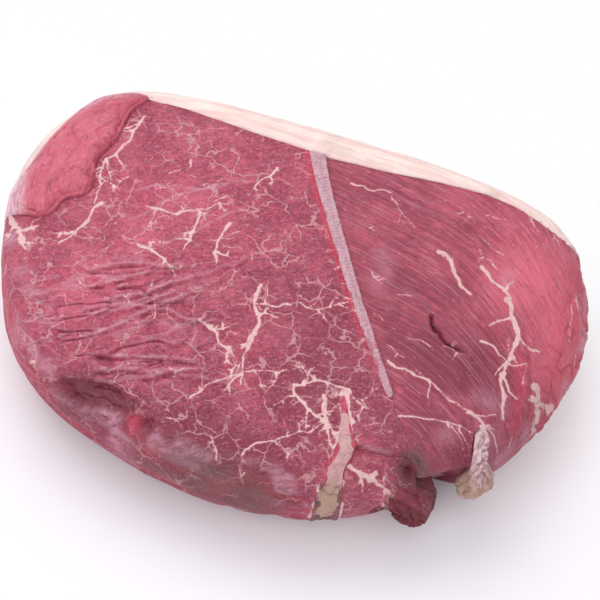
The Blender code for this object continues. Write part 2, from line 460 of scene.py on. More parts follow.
WOBBLE = 0.8  # how far the marbling wanders from its drawn lines, in mm


def wander(xy, seed):
    """Places shifted a little by noise, so that drawn lines come out crooked."""
    flat = np.column_stack([xy, np.zeros(len(xy))])
    shift = np.stack([layers(flat / 3.5, seed, 2), layers(flat / 3.5, seed + 5, 2)], axis=1)
    return xy + shift * WOBBLE


def seam_x(y):
    return SEAM_PLACE[0] + (SEAM_PLACE[1] - y) * SEAM_SLANT


def main_inside(x, y):
    below_cap_muscle = not (x < -98 and y > 0)
    return x < seam_x(y) - SEAM_MARGIN and y < FAT_EDGE and below_cap_muscle


def side_inside(x, y):
    return x > seam_x(y) + SEAM_MARGIN and y < FAT_EDGE


def main_heading(x, y):
    return math.radians(26 + 70 * (x > 10 and y < 0))


def side_heading(x, y):
    return math.radians(-10 - max(0.0, x - 58) * 0.65)


FACE_VEINS = {
    "main_muscle": marbling(MAIN_TRUNKS, 5) + scattered_veins(
        11, 55, main_inside, main_heading, 45, (4, 11), (0.35, 0.7)),
    "side_muscle": marbling(SIDE_TRUNKS, 6, 2, 0.22) + scattered_veins(
        12, 26, side_inside, side_heading, 6, (4, 13), (0.3, 0.7)),
    "tail_muscle": marbling(TAIL_TRUNKS, 7),
}
BASE_VEINS = {
    "main_muscle": scattered_veins(21, 60, main_inside, main_heading, 45, (10, 30), (0.7, 1.8)),
    "side_muscle": scattered_veins(22, 36, side_inside, side_heading, 10, (10, 32), (0.6, 1.8)),
    "tail_muscle": [],
}
# How far each kind of fat frays over onto the lean beside it, in mm.
FRINGES = {"fat_seam": 1.3, "fat_knot": 3.6, "fat_cap": 0.8}
# Lighter (+) and darker (-) areas of lean: centre, radii, amount.
TONES = {
    "main_muscle": [
        ((38, -36), (40, 34), -0.55), ((20, 0), (45, 30), -0.25), ((0, -78), (66, 30), -0.90),
        ((-60, 20), (60, 50), 0.30), ((-80, -30), (50, 40), 0.35), ((-60, -75), (45, 16), -0.45),
        ((-30, 60), (60, 24), 0.12), ((72, -44), (22, 18), -0.35),
    ],
    "side_muscle": [
        ((88, -6), (42, 24), -0.75), ((60, 12), (30, 40), -0.20), ((110, 48), (42, 38), 0.90),
        ((134, 20), (22, 42), 1.0), ((92, -38), (34, 20), -0.35), ((120, -30), (14, 20), 0.10),
        ((70, 72), (50, 14), 0.25),
    ],
    "tail_muscle": [((70, -66), (18, 16), 0.15), ((88, -60), (12, 12), -0.5)],
    "cap_muscle": [((-118, 30), (30, 60), 0.35)],
}
# Grey-brown patches on the lean, each a centre, radii and amount: along the front rim, and as
# painted shade in the hollow under the rim and round the notch.
GREY_BROWN_PATCHES = [
    ((0, -86), (50, 15), 0.75), ((-60, -73), (26, 10), 0.8), ((86, -54), (9, 8), 0.9),
    ((30, -88), (26, 10), 0.45), ((95, -57), (20, 8), 0.4),
]
# White to lilac membrane on the faces.
MEMBRANE = [
    ((-124, -14), (13, 9), 0.8), ((-101, -38), (9, 6), 0.45), ((-104, -56), (8, 12), 0.5),
    ((-111, -30), (8, 7), 0.4), ((-90, -48), (8, 5), 0.4), ((40, 34), (8, 9), 0.35),
    ((98, 44), (6, 9), 0.5), ((108, -16), (14, 8), 0.45), ((94, -38), (8, 8), 0.4),
    ((112, -30), (10, 8), 0.4), ((44, 24), (9, 14), 0.3),
]
TAIL_LIFT = 1.5  # the tail's face comes up by this much, to meet the main muscle


def crease(distance, width):
    """A V-shaped groove's share of its depth."""
    return np.exp(-((distance / width) ** 2))


def fold_relief(xy):
    """Height in mm of the soft folds, and how much crest (painted sheen) and groove (painted shade)
    each point has.
    """
    height = np.zeros(len(xy))
    crest = np.zeros(len(xy))
    dark = np.zeros(len(xy))
    for k, (line, strength) in enumerate(FOLDS):
        distance, side, share = along(xy, rounded(line))
        ends = smooth(share, 0, 0.12) * (1 - smooth(share, 0.82, 1))
        ends = ends * (0.7 + 0.3 * noise(plan(share * 7, share * 0), 40 + k))
        signed = distance * side
        bank = np.exp(-((signed / 2.6) ** 2))
        groove = np.exp(-(((signed + 1.9) / 0.75) ** 2))
        height += strength * ends * (0.6 * bank - 1.2 * groove)
        crest = np.maximum(crest, ends * np.exp(-((signed / 0.75) ** 2)))
        dark = np.maximum(dark, min(1, strength) * ends * groove)
    return height, crest, dark


def ridged(points, seed):
    """Sharp valleys between rounded tops, 0 in the valleys to 1 on the tops."""
    return np.abs(layers(points, seed, 2)) ** 0.7


def shape_main(points, normal, marks):
    x, y, z = points.T
    xy = points[:, :2]
    face = upward(normal)
    wall = 1 - face_share(normal)
    grain = fibres("main_muscle", points)
    out = 0.5 * layers(points / 26, 1, 2) + 0.10 * layers(points / 2.4, 2, 2)
    fold_zone = smooth(blob(x, y, *FOLD_ZONE), 0.0, 0.6)
    height, crest, dark = fold_relief(xy)
    u, v = grain[:, 0], grain[:, 1]
    bend = 2.5 * noise(plan(u / 30, v / 20), 7)
    pleats = ridged(plan(u / 22, (v + bend) / 6.0), 3)
    cross = ridged(plan((u + 0.8 * v) / 8, (v - 0.4 * u) / 9), 13)
    folded = 1 - smooth(pleats, 0.0, 0.36) * (0.6 + 0.4 * smooth(cross, 0.0, 0.3))
    out += face * (height - 1.7 * fold_zone * folded)
    banks = smooth(pleats, 0.16, 0.24) * (1 - smooth(pleats, 0.26, 0.42))
    # Painted sheen on the banks of the pleats in the fold zone.
    marks["silver"] += 0.40 * face * fold_zone * banks
    weak = face * smooth(layers(points / 30, 8, 1), -0.3, 0.6)
    fine = ridged(plan(u / 11, (v + bend) / 3.4), 4)
    out -= 0.28 * weak * (1 - smooth(fine, 0.0, 0.35))
    # The hollow under the front rim, the pit with its nub, and the layered walls.
    torn_edge = 3.0 * layers(points / 8, 34, 3)
    deep = smooth(blob(x + torn_edge, y - torn_edge, *HOLLOW), 0.0, 0.45)
    ridges = ridged(np.column_stack([(x + y) / 16, (y - 0.35 * x + torn_edge) / 4.5, z / 5]), 35)
    near_hollow = blob(x, y, HOLLOW[0], AROUND_HOLLOW) * smooth(z, 14, 34)
    out -= 1.5 * near_hollow * (1 - smooth(ridges, 0, 0.4))
    # Painted shade in the valleys of the ridged walls round the hollow.
    marks["dark"] += 0.55 * near_hollow * (1 - smooth(ridges, 0, 0.2))
    out -= 3.4 * deep * smooth(z, 20, 36)
    pit = np.hypot(x - PIT[0], y - PIT[1])
    nub = np.hypot(x - NUB[0], (y - NUB[1]) * 0.8)
    out -= 2.6 * crease(pit, 2.6) * smooth(z, 20, 36)
    out += 2.0 * crease(nub, 2.8) * smooth(z, 20, 36)
    turn = np.arctan2(y, x) * 95
    bands = ridged(plan(turn / 42, (z + 4 * noise(points / 18, 6)) / 8.5), 5)
    out -= 1.5 * wall * (1 - smooth(bands, 0.0, 0.5)) * smooth(z, 2, 8)
    # Painted sheen along the crests of the soft folds.
    marks["silver"] += 0.85 * face * crest * (0.5 + 0.5 * fold_zone)
    # Painted shade in the fold grooves, the pleat valleys, the hollow and the pit.
    torn = smooth(noise(points / 7, 10), 0.1, 0.5)
    marks["dark"] += face * (0.25 + 0.6 * torn) * dark
    marks["dark"] += 0.6 * torn * fold_zone * face * (1 - smooth(pleats, 0.0, 0.14))
    marks["dark"] += 0.9 * deep + 0.9 * crease(pit, 2.2) * smooth(z, 20, 36)
    marks["bleed"] += 0.9 * crease(nub, 3.2) * smooth(z, 20, 36)
    patchy = smooth(layers(points / 14, 9, 2), -0.2, 0.5)
    marks["silver"] += wall * 0.5 * smooth(bands, 0.25, 0.6) * patchy
    marks["bleed"] += wall * 0.5 * (1 - smooth(bands, 0.1, 0.4))
    inner = 1 - smooth(marks["to_seam"], 0.5, 5.0)
    marks["bleed"] += 0.9 * inner * smooth(y, -30, 10) * face
    # The membrane where the face turns over into the front wall.
    turning = smooth(normal[:, 2], 0.45, 0.65) * (1 - smooth(normal[:, 2], 0.75, 0.93))
    rim = smooth(-y, 48, 62) * turning
    torn_rim = smooth(layers(points / 12, 33, 2), -0.1, 0.3)
    out += 0.4 * rim * torn_rim
    marks["silver"] += 0.7 * rim * torn_rim
    for line, _ in PALE_LINES:
        distance, _, share = along(wander(xy, 30), rounded(line))
        ends = smooth(share, 0, 0.15) * (1 - smooth(share, 0.8, 1))
        marks["silver"] += 0.6 * face * ends * crease(distance, 0.55)
    return out


def shape_side(points, normal, marks):
    x, y, z = points.T
    xy = points[:, :2]
    face = upward(normal)
    wall = 1 - face_share(normal)
    u, v, _ = fibres("side_muscle", points).T
    bend = 1.6 * noise(plan(u / 26, v / 15), 17)
    out = 0.45 * layers(points / 24, 11, 2)
    strands = layers(np.column_stack([u / 24, (v + bend) / 1.7, z / 6]), 12, 2)
    folds = ridged(plan(u / 34, (v + bend) / 6.5), 13)
    out += face * (0.16 * strands - 0.45 * (1 - smooth(folds, 0, 0.4)))
    distance, _, share = along(wander(xy, 31), rounded(bent_line(*SLIT_ARC)))
    open_share = smooth(share, 0, 0.1) * (1 - smooth(share, 0.75, 1)) * crease(distance, 0.65)
    out -= 2.8 * open_share * face
    lip = smooth(share, 0, 0.1) * (1 - smooth(share, 0.85, 1)) * crease(distance - 2.2, 1.3)
    out += 0.4 * lip * face
    gristle, side, share = along(wander(xy, 32), rounded(bent_line(*GRISTLE[:4])))
    beside_gristle = crease(gristle - 3, 1.4) * (side > 0)
    out += face * smooth(share, 0.1, 0.4) * (0.7 * crease(gristle, 1.6) - 0.9 * beside_gristle)
    # The ragged right end: torn lumps, more of them lower down.
    end = smooth(x, 118, 134)
    lumps = layers(points / 7, 14, 3)
    out += end * (1.3 * lumps - 1.2) * (1 - 0.5 * face)
    tear = ridged(np.column_stack([x / 9, y / 8, z / 9]), 15)
    out -= 1.7 * end * (1 - smooth(tear, 0, 0.35)) * (1 - 0.5 * face)
    # Painted shade in the open slit and in the tears of the ragged end.
    marks["dark"] += face * (1.6 * open_share) + 0.3 * end * (1 - smooth(tear, 0, 0.2))
    marks["bleed"] += 0.45 * face * crease(gristle - 3, 3.0) * (side < 0) * smooth(share, 0.3, 0.6)
    marks["bleed"] += 0.45 * end * smooth(y, -35, -5)
    marks["silver"] += wall * 0.7 * smooth(layers(points / 11, 16, 2), 0.0, 0.5)
    return out


def shape_cap(points, normal, marks):
    x, y, z = points.T
    face = smooth(normal[:, 2], 0.1, 0.6)
    u, over, _ = fibres("cap_muscle", points).T
    bend = 2.0 * noise(plan(u / 18, over / 12), 27)
    wrinkle = ridged(plan(u / 16, (over + bend) / 7.0), 21)
    out = -0.9 * face * (1 - smooth(wrinkle, 0, 0.4))
    out += 0.4 * layers(points / 15, 22, 2)
    outer = smooth(over, 50, 60)
    marks["silver"] += outer
    # Painted shade in the wrinkle valleys.
    marks["dark"] += 0.5 * face * (1 - smooth(wrinkle, 0, 0.15)) * (1 - outer)
    return out


def shape_fat(points, normal, marks):
    x, y, z = points.T
    u, over, _ = fibres("fat_cap", points).T
    out = 0.35 * layers(np.column_stack([u / 30, over / 2.0, z / 7]), 41, 3)
    out += 0.5 * layers(points / 19, 42, 2)
    cells = ridged(np.column_stack([u / 14, over / 4, z / 6]), 43)
    out -= 0.35 * (1 - face_share(normal)) * (1 - smooth(cells, 0, 0.3))
    inner = 1 - smooth(marks["to_neighbour"], 0.5, 3.2)
    marks["bleed"] += 0.8 * inner * upward(normal)
    marks["dry"] += 0.35 * smooth(layers(points / 16, 44, 2), 0.2, 0.7)
    return out


def shape_seam(points, normal, marks):
    x, y, z = points.T
    u, over, _ = fibres("fat_seam", points).T
    ribs = np.sin((u + 1.1 * noise(points / 5, 51)) * 2 * math.pi / 1.7)
    out = 0.22 * ribs + 0.25 * layers(points / 6, 52, 2)
    # Painted shade in the valleys between the ribs.
    marks["dark"] += 0.22 * smooth(-ribs, 0.1, 0.9)
    marks["silver"] += 0.45 + 0.3 * layers(points / 5, 53, 2)
    return out


def shape_knot(points, normal, marks):
    x, y, z = points.T
    out = 0.7 * layers(points / 7, 61, 3)
    cracks = ridged(points / 6.5, 62)
    front = smooth(-y + 5 * layers(points / 7, 65, 2), 70, 75)
    out -= 0.9 * front * (1 - smooth(cracks, 0, 0.3))
    marks["dry"] += front
    # Painted shade in the cracks of the dried front.
    marks["dark"] += 0.7 * front * (1 - smooth(cracks, 0, 0.14))
    marks["bleed"] += 0.45 * (1 - front) * smooth(z, 25, 40)
    return out


def shape_tail(points, normal, marks):
    x, y, z = points.T
    roll = smooth(x, 77, 81)
    ring = np.arctan2(z - 20, x - 84)
    out = 0.35 * layers(points / 9, 71, 2)
    pleat = ridged(plan(ring * 1.3, (y + 1.0 * noise(points / 6, 73)) / 3.0), 72)
    out -= 1.3 * roll * (1 - smooth(pleat, 0, 0.4))
    end = roll * np.maximum(smooth(-y, 64.5, 68.5), 1 - smooth(z, 14, 27))
    out += end * 0.5 * layers(points / 3, 74, 2)
    marks["dry"] += end
    marks["dry"] += 0.6 * roll * (1 - smooth(z, 20, 34))
    # Painted shade, strongest on the end face, then in the pleat valleys, and faint over the roll.
    marks["dark"] += 0.95 * end + 0.5 * roll * (1 - smooth(pleat, 0, 0.2)) + 0.25 * roll
    return out


def shape_tag(points, normal, marks):
    x, y, z = points.T
    out = 2.2 * layers(points / 4.5, 81, 3)
    strands = ridged(np.column_stack([x / 2.6, y / 2.6, z / 16]), 83)
    out -= 1.8 * smooth(z, 30, 42) * (1 - smooth(strands, 0, 0.4))
    cracks = ridged(points / 4, 82)
    out -= 1.1 * (1 - smooth(cracks, 0, 0.3))
    patchy = 0.6 + 0.4 * smooth(layers(points / 5, 84, 2), -0.2, 0.3)
    marks["dry"] += smooth(-z, -42, -34) * patchy
    marks["silver"] += 0.8 * smooth(z, 40, 46)
    # Painted shade in the cracks.
    marks["dark"] += 0.6 * (1 - smooth(cracks, 0, 0.12))
    return out


SHAPES = {
    "main_muscle": shape_main, "side_muscle": shape_side, "cap_muscle": shape_cap,
    "fat_cap": shape_fat, "fat_seam": shape_seam, "fat_knot": shape_knot,
    "tail_muscle": shape_tail, "fat_tag": shape_tag,
}
VOXEL = {  # in mm
    "main_muscle": 1.4, "side_muscle": 1.2, "cap_muscle": 1.1, "fat_cap": 1.1, "fat_seam": 0.7,
    "fat_knot": 0.6, "tail_muscle": 0.7, "fat_tag": 0.5,
}
REFINED = ("main_muscle", "side_muscle", "cap_muscle")
RELAXED = {"cap_muscle": 7, "fat_tag": 5}  # rounds of smoothing; the others get 2
OVERLAP = 0.95  # how far each skin grows into its neighbours, in mm
MARKS = ("tone", "dark", "dry", "silver", "bleed")  # what each skin tells its material


def dense_mesh(node):
    """A node's even mesh, finer on its face and finest by its veins and folds."""
    mesh = remeshed(node, VOXEL[node])
    relax(mesh, RELAXED.get(node, 2))
    if node not in REFINED:
        return mesh
    refine(mesh, normals(mesh)[:, 2] > 0.25)
    relax(mesh, 1)
    if node in FACE_VEINS:
        points = positions(mesh)
        near = vein_depth(wander(points[:, :2], 90), FACE_VEINS[node]) > -0.35
        if node == "main_muscle":
            near |= blob(points[:, 0], points[:, 1], *FINE_FOLDS) > 0.15
        refine(mesh, near & (normals(mesh)[:, 2] > 0.3))
    return mesh


def fat_depth(node, points, normal, to_neighbour, fat_distance):
    """How deep in fat each point lies, in mm, within 3 mm either way; below 0 it is lean."""
    y, z = points[:, 1], points[:, 2]
    depth = np.full(len(points), -3.0)
    if node == "fat_knot":
        depth = np.minimum(to_neighbour - 1.6 + 3.4 * layers(points / 7, 63, 3), 3.0)
        wall = 1 - face_share(normal)
        depth -= 6.0 * wall * (1 - smooth(z + 5 * layers(points / 9, 66, 2), 16, 32))
    elif node == "fat_seam":
        thinner = 0.5 * smooth(-y, -40, 31)
        frayed = 1.1 * layers(points / 3.0, 54, 2) + 0.9 * layers(points / 9, 55, 1)
        depth = to_neighbour - 0.1 - thinner + frayed
    elif node in ("fat_cap", "fat_tag"):
        depth = np.full(len(points), 3.0)
    if node in FACE_VEINS:
        top = vein_depth(wander(points[:, :2], 90), FACE_VEINS[node])
        base = vein_depth(wander(points[:, :2], 91), BASE_VEINS[node])
        depth = np.where(normal[:, 2] > 0.1, top, np.where(normal[:, 2] < -0.5, base, depth))
    for k, (name, reach) in enumerate(FRINGES.items()):
        if name in fat_distance:
            frayed = reach * (0.25 + layers(points / (3 + reach), 64 + k, 3))
            depth = np.maximum(depth, frayed - fat_distance[name])
    return depth


def settled(node, points, normal, out, to_neighbour, above):
    """Where each point comes to lie: moved out, joined to its neighbours, inside the CAD box."""
    x, y, z = points.T
    low, high = points.min(axis=0), points.max(axis=0)
    face, upper = upward(normal), smooth(z, 30, 48)
    beside = 1 - smooth(to_neighbour, 0.6, 2.0)
    moved = points + normal * (out * (1 - 0.75 * beside))[:, None]
    flat = normal * [1, 1, 0]
    moved += flat * (OVERLAP * beside)[:, None]
    # Where a neighbour's face is lower, this one slopes down to it. Where the two are level, the
    # groove between them is filled.
    moved[:, 2] -= face * np.clip(above, 0, 4) * (1 - smooth(to_neighbour, 0.4, 6.0)) * upper
    level_with = 1 - smooth(above, 0.5, 2.0)
    shoulder = (1 - normal[:, 2]) * smooth(normal[:, 2], 0.1, 0.4)
    moved[:, 2] += 0.8 * beside * upper * level_with * shoulder
    if node == "tail_muscle":
        moved[:, 2] += TAIL_LIFT * upper * face
    if node == "side_muscle":
        # The side muscle is undercut beside the notch.
        beside_notch = smooth(x, 80, 88) * (1 - smooth(x, 108, 122)) * (1 - smooth(y, -52, -38))
        moved[:, 1] += 13.0 * beside_notch * (1 - smooth(z, 26, 47))
    if node == "fat_tag":
        moved[:, 0] += (x - 111) * -0.35 * smooth(z, 34, 44) - 4.0 * (1 - smooth(z, 20, 40))
    slack = 4.0 if node == "fat_tag" else 0.3
    moved = np.clip(moved, low - [slack, 0.3, 0], high + [slack, 0.3, 0.3])
    moved[:, 2] = np.maximum(moved[:, 2], np.where(z < 1.5, z, 0.05))
    return np.clip(moved, np.array(cad_low) / MM, np.array(cad_high) / MM)


def skin(node, material):
    """Builds, shapes and marks the dense skin of one CAD node."""
    mesh = dense_mesh(node)
    points, normal = positions(mesh), normals(mesh)
    x, y, z = points.T
    others = [name for name in frame["nodes"] if name != node]
    to_neighbour, above = nearest(mesh, others, 6.0)
    frayed_by = FRINGES if node in FACE_VEINS or node == "cap_muscle" else ()
    fat_distance = {name: nearest(mesh, [name], 9.0)[0] for name in frayed_by}
    marks = {key: np.zeros(len(points)) for key in MARKS}
    marks["to_neighbour"] = to_neighbour
    marks["to_seam"] = fat_distance.get("fat_seam", to_neighbour)
    marks["tone"] += blobs(x, y, TONES.get(node, []))
    if node not in ("fat_cap", "fat_tag"):
        marks["dry"] += blobs(x, y, GREY_BROWN_PATCHES) * smooth(z, 12, 30)
        marks["silver"] += blobs(x, y, MEMBRANE) * smooth(z, 20, 40)
    depth = fat_depth(node, points, normal, to_neighbour, fat_distance)
    out = SHAPES[node](points, normal, marks)
    if node in FACE_VEINS:
        upper = smooth(z, 30, 48)
        notch = np.hypot(x - NOTCH[0], y - NOTCH[1])
        out = out - 3.0 * crease(notch, 3.0) * upper
        # Painted shade in the notch, with a wider grey-brown ring round it.
        marks["dark"] += 1.3 * crease(notch, 3.0) * upper
        marks["dry"] += 0.7 * crease(notch, 8.0) * upper
    out = out + 0.10 * smooth(depth, -0.3, 0.4) * upward(normal)
    move_to(mesh, settled(node, points, normal, out, to_neighbour, above))
    write(mesh, "vein", depth)
    for key in MARKS:
        write(mesh, key, np.clip(marks[key], -1, 1))
    write(mesh, "fibre", fibres(node, points))
    mesh.shade_smooth()
    mesh.materials.clear()
    mesh.materials.append(material)
    obj = new_mesh_object(node + "_flesh", mesh)
    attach(obj, "root")
    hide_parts(node)
    print(node, len(mesh.polygons), "faces", flush=True)


# ---------------------------------------------------------------- materials


class Shade:
    """A small helper that adds nodes to one material and links them."""

    def __init__(self, name):
        self.material = bpy.data.materials.new(name)
        self.material.use_nodes = True
        self.tree = self.material.node_tree
        self.shader = self.tree.nodes["Principled BSDF"]
        coords = self.node("ShaderNodeTexCoord")
        self.place = self.vector("SCALE", coords.outputs["Object"], scale=1 / MM)

    def put(self, socket, value):
        if isinstance(value, bpy.types.NodeSocket):
            self.tree.links.new(value, socket)
        else:
            socket.default_value = value

    def node(self, kind, inputs=None, **settings):
        made = self.tree.nodes.new(kind)
        for key, value in settings.items():
            setattr(made, key, value)
        for key, value in (inputs or {}).items():
            self.put(made.inputs[key], value)
        return made

    def math(self, operation, a, b=0.0):
        return self.node("ShaderNodeMath", {0: a, 1: b}, operation=operation).outputs[0]

    def vector(self, operation, a, b=None, scale=None):
        made = self.node("ShaderNodeVectorMath", {0: a}, operation=operation)
        if b is not None:
            self.put(made.inputs[1], b)
        if scale is not None:
            made.inputs["Scale"].default_value = scale
        return made.outputs[0]

    def step(self, value, start, end, low=0.0, high=1.0):
        """A smooth step from low to high as value goes from start to end."""
        made = self.node(
            "ShaderNodeMapRange",
            {"Value": value, "From Min": start, "From Max": end, "To Min": low, "To Max": high},
            interpolation_type="SMOOTHSTEP",
        )
        return made.outputs["Result"]

    def read(self, name):
        return self.node("ShaderNodeAttribute", attribute_name=name).outputs["Fac"]

    def read_vector(self, name):
        return self.node("ShaderNodeAttribute", attribute_name=name).outputs["Vector"]

    def noise(self, where, scale, detail=2.0, rough=0.5, colour=False):
        made = self.node("ShaderNodeTexNoise", {
            "Vector": where, "Scale": scale, "Detail": detail, "Roughness": rough})
        return made.outputs["Color" if colour else "Fac"]

    def cells(self, where, scale, feature="F1", output="Distance"):
        made = self.node("ShaderNodeTexVoronoi", {"Vector": where, "Scale": scale}, feature=feature)
        return made.outputs[output]

    def stretch(self, where, factors):
        return self.vector("MULTIPLY", where, factors)

    def warped(self, where, scale, amount):
        """Positions pushed about by noise, by up to half of amount."""
        push = self.noise(where, scale, 2.0, 0.5, colour=True)
        centred = self.vector("SUBTRACT", push, (0.5, 0.5, 0.5))
        return self.vector("ADD", where, self.vector("SCALE", centred, scale=amount))

    def blend(self, share, under, over):
        """Mixes two colours; a tuple is a linear colour."""
        made = self.node("ShaderNodeMix", data_type="RGBA", clamp_factor=True)
        self.put(made.inputs["Factor"], share)
        for socket, value in ((made.inputs["A"], under), (made.inputs["B"], over)):
            self.put(socket, (*value, 1.0) if isinstance(value, tuple) else value)
        return made.outputs["Result"]

    def multiply(self, *values):
        product = values[0]
        for value in values[1:]:
            product = self.math("MULTIPLY", product, value)
        return product

    def finish(self, colour, roughness, height, depth, specular, scatter):
        """Links colour, roughness and a fine bump, and sets the constants of moist flesh."""
        shader = self.shader
        self.put(shader.inputs["Base Color"], colour)
        self.put(shader.inputs["Roughness"], roughness)
        bump = self.node("ShaderNodeBump", {
            "Strength": 1.0, "Distance": depth * MM, "Height": height})
        self.put(shader.inputs["Normal"], bump.outputs["Normal"])
        shader.inputs["Specular IOR Level"].default_value = specular
        shader.inputs["Subsurface Weight"].default_value = scatter
        shader.inputs["Subsurface Radius"].default_value = (1.0, 0.35, 0.25)
        shader.inputs["Subsurface Scale"].default_value = 0.002
        return self.material


# Linear colours.
RED, DEEP_RED = (0.68, 0.125, 0.20), (0.23, 0.030, 0.062)
CREAM = (0.84, 0.61, 0.57)
LILAC = (0.66, 0.34, 0.44)
BLEED = (0.60, 0.05, 0.09)
# Painted shade in creases, clefts and hollows of the lean.
SHADE_RED = (0.15, 0.010, 0.025)
# Grey-brown of dried surface, also used as painted shade in the hollow and round the notch.
DRIED_AND_SHADE = (0.15, 0.085, 0.08)
TAN, DARK_TAN = (0.46, 0.31, 0.23), (0.33, 0.19, 0.13)
FLECK = (0.60, 0.31, 0.42)
SHEATH = (0.66, 0.27, 0.34)
SPECK = (0.74, 0.42, 0.48)
NET = (0.66, 0.36, 0.38)
VEIN_EDGE = (0.66, 0.19, 0.26)
FAT_FILM = (0.68, 0.47, 0.56)
# Painted shade in the cracks of the fat.
FAT_CRACK_SHADE = (0.10, 0.05, 0.04)
SMEAR_DARK, SMEAR_LIGHT = (0.24, 0.03, 0.06), (0.62, 0.12, 0.19)  # lean left on the fat
CUT_ACROSS = (1.8, 1.2, 1.5)  # muscle bundles, in mm


def lean(name, light, dark, cell, streak, specks=1.0, mesh_lines=1.0, sheaths=0.25,
         fineness=1.1, contrast=1.0, film_sheen_colour=LILAC,
         fats=((0.72, 0.40, 0.42), CREAM), dried_fat=None):
    """Moist lean meat. cell is the size of a muscle bundle along, across and through, in mm."""
    s = Shade(name)
    fibre = s.read_vector("fibre")
    tone, vein = s.read("tone"), s.read("vein")
    dry, silver, bleed, shadow = s.read("dry"), s.read("silver"), s.read("bleed"), s.read("dark")
    # Muscle bundles: tight cells with paler sheaths between them.
    bundle_place = s.stretch(s.warped(fibre, 0.25, 2.4), tuple(1 / c for c in cell))
    grain = s.step(s.cells(bundle_place, 1.0), 0.12, 0.62, 1.0, 0.0)
    cell_colour = s.cells(bundle_place, 1.0, "F1", "Color")
    bundle = s.node("ShaderNodeSeparateColor", {0: cell_colour}).outputs[0]
    fine = s.noise(s.stretch(fibre, (1 / streak, 1.0, 1.0)), fineness, 4.0, 0.75)
    patch = s.noise(s.place, 0.055, 3.0, 0.55)
    mottle = s.noise(s.place, 0.22, 3.0, 0.6)
    level = s.math("ADD", s.math("MULTIPLY", tone, 0.6), 0.42)
    coarse = 0.3 * (0.3 + contrast)
    for value, weight in ((grain, coarse), (bundle, coarse), (fine, 1.1 * contrast),
                          (patch, 0.5), (mottle, 0.5)):
        level = s.math("ADD", level, s.math("MULTIPLY", s.math("SUBTRACT", value, 0.5), weight))
    colour = s.blend(s.step(level, 0.0, 1.0), dark, light)
    # Lilac flecks, where the cut fibres catch the light.
    fleck = s.step(s.noise(s.stretch(fibre, (0.8 / streak, 1.0, 0.8)), 1.0, 2.0, 0.6), 0.54, 0.70)
    colour = s.blend(s.math("MULTIPLY", fleck, 0.32), colour, FLECK)
    # Thin clefts between the bundles, darkened with painted shade, and here and there a paler
    # sheath.
    cleft_place = s.stretch(s.warped(fibre, 0.3, 1.5), (0.22 / streak**0.5, 0.34, 0.3))
    cleft = s.math("ABSOLUTE", s.math("SUBTRACT", s.noise(cleft_place, 1.0, 2.0, 0.5), 0.5))
    cleft = s.multiply(s.step(cleft, 0.004, 0.022, 1.0, 0.0), s.step(mottle, 0.42, 0.58))
    colour = s.blend(s.math("MULTIPLY", cleft, 0.32), colour, SHADE_RED)
    edge = s.cells(bundle_place, 1.0, "DISTANCE_TO_EDGE")
    sheath = s.multiply(s.step(edge, 0.01, 0.10, 1.0, 0.0), s.step(patch, 0.45, 0.62))
    colour = s.blend(s.math("MULTIPLY", sheath, sheaths), colour, SHEATH)
    # Specks and short dashes of fat.
    dot_place = s.stretch(s.warped(fibre, 0.5, 1.5), (0.40 / streak**0.3, 0.70, 0.5))
    dot = s.step(s.cells(dot_place, 1.0), 0.10, 0.26, 1.0, 0.0)
    some = s.step(s.noise(s.place, 0.35, 2.0), 0.50, 0.62)
    colour = s.blend(s.multiply(dot, some, 0.6 * specks), colour, SPECK)
    # A broken net of thin fat lines around the larger bundles.
    net_place = s.stretch(s.warped(s.place, 0.16, 7.0), (1 / 13, 1 / 10, 1 / 10))
    net = s.step(s.cells(net_place, 1.0, "DISTANCE_TO_EDGE"), 0.006, 0.040, 1.0, 0.0)
    broken = s.step(s.noise(s.place, 0.09, 2.0), 0.42, 0.55)
    colour = s.blend(s.multiply(net, broken, 0.5 * mesh_lines), colour, NET)
    colour = s.blend(s.math("MULTIPLY", bleed, 0.8), colour, BLEED)
    # Membrane, and painted sheen on fold crests, in wisps that follow the grain.
    wisp = s.noise(s.stretch(fibre, (0.12, 0.5, 0.3)), 1.0, 3.0, 0.6)
    film_sheen = s.multiply(silver, s.step(wisp, 0.30, 0.62, 0.35, 1.0))
    colour = s.blend(s.math("MULTIPLY", film_sheen, 0.85), colour, film_sheen_colour)
    # Grey-brown for dried surface, and for painted shade in the hollow under the front rim and
    # round the notch.
    colour = s.blend(s.multiply(dry, s.step(mottle, 0.3, 0.7, 0.55, 1.0)), colour, DRIED_AND_SHADE)
    # Marbling, its edges frayed.
    fray = s.math("MULTIPLY", s.math("SUBTRACT", s.noise(s.place, 0.9, 3.0, 0.7), 0.5), 1.2)
    depth = s.math("ADD", vein, fray)
    fringe = s.step(depth, -0.9, 0.1)
    colour = s.blend(s.math("MULTIPLY", fringe, 0.25), colour, VEIN_EDGE)
    core = s.step(depth, -0.08, 0.20)
    marble = s.blend(s.noise(s.place, 0.6, 2.0), *fats)
    if dried_fat:
        marble = s.blend(s.math("MULTIPLY", dry, 0.9), marble, dried_fat)
    colour = s.blend(s.math("MULTIPLY", core, 0.95), colour, marble)
    # Painted shade where the dark mark is set: creases, grooves, cracks, hollows and the notch.
    colour = s.blend(s.math("MULTIPLY", shadow, 0.78), colour, SHADE_RED)
    rough = s.step(s.noise(s.place, 0.12, 3.0), 0.3, 0.7, 0.36, 0.52)
    rough = s.math("ADD", rough, s.math("MULTIPLY", dry, 0.2))
    height = s.math("ADD", s.math("MULTIPLY", grain, 0.5), fine)
    height = s.math("ADD", height, s.math("MULTIPLY", core, 0.15))
    height = s.math("SUBTRACT", height, s.math("MULTIPLY", cleft, 0.7))
    return s.finish(colour, rough, height, 0.40, 0.28, 0.12)


